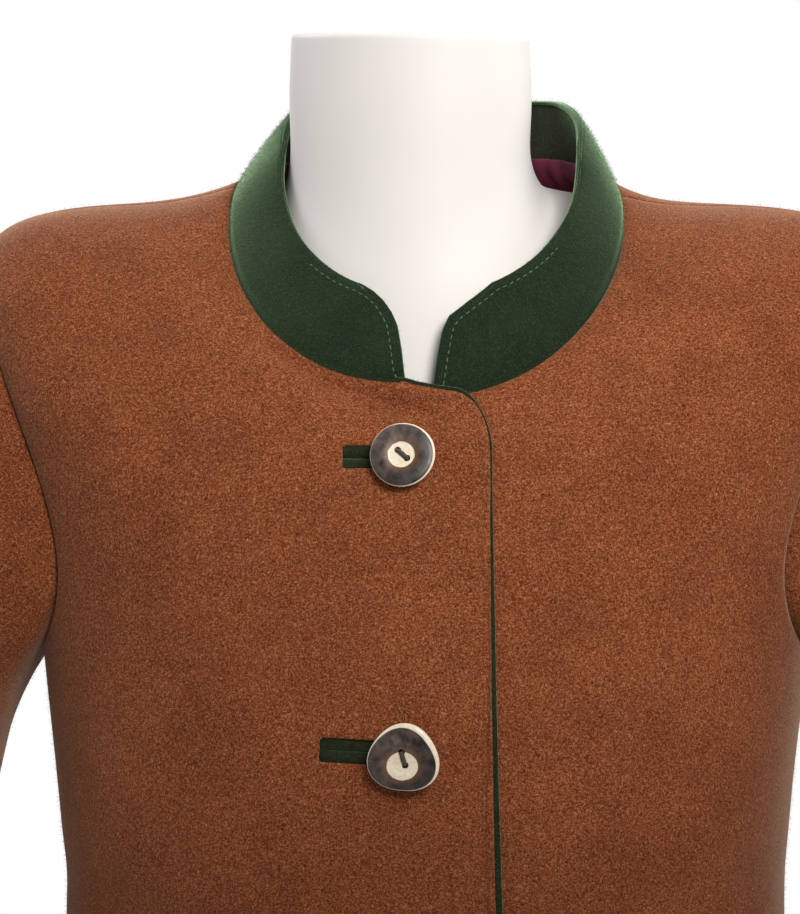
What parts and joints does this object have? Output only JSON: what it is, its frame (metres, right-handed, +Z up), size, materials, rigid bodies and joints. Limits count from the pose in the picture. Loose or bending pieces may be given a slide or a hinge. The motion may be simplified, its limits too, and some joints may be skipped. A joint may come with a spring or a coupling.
{
  "type": "tyrolean loden jacket on a limbless dress form with a round stand",
  "caption": "Fitted loden jacket with a green felt stand-up collar, welted buttonholes and horn buttons, worn hollow on a smooth white dress form.",
  "frame": {"origin": "middle of the stand's underside, on the floor", "axes": "+Z up, -Y is the front of the jacket, +X is the wearer's left"},
  "size_m": [0.574, 0.31, 0.8635],
  "materials": {
    "loden": "milled woollen loden, heathered chestnut brown, short raised nap",
    "green_felt": "dark green wool felt, soft raised nap",
    "burgundy_lining": "burgundy twill lining, soft sheen",
    "horn": "turned horn, dark brown rind with a cream core, satin",
    "thread": "twisted dark olive sewing thread",
    "form_white": "smooth white shell, satin gloss",
    "stand_steel": "brushed steel tube",
    "stand_white": "white powder coat, satin"
  },
  "bodies": {
    "root": {"front_right_over": "loden", "front_left_under": "loden", "back": "loden", "sleeve_left": "loden", "sleeve_right": "loden", "collar_outer": "green_felt", "collar_inner": "green_felt", "back_neck_lining": "burgundy_lining", "front_edge_trim": "green_felt", "welt_1_upper": "green_felt", "welt_1_lower": "green_felt", "welt_2_upper": "green_felt", "welt_2_lower": "green_felt", "welt_3_upper": "green_felt", "welt_3_lower": "green_felt", "welt_4_upper": "green_felt", "welt_4_lower": "green_felt", "button_1": "horn", "button_2": "horn", "button_3": "horn", "button_4": "horn", "thread_1": "thread", "thread_2": "thread", "thread_3": "thread", "thread_4": "thread", "form_body": "form_white", "form_pole": "stand_steel", "form_base": "stand_white"}
  },
  "joints": []
}
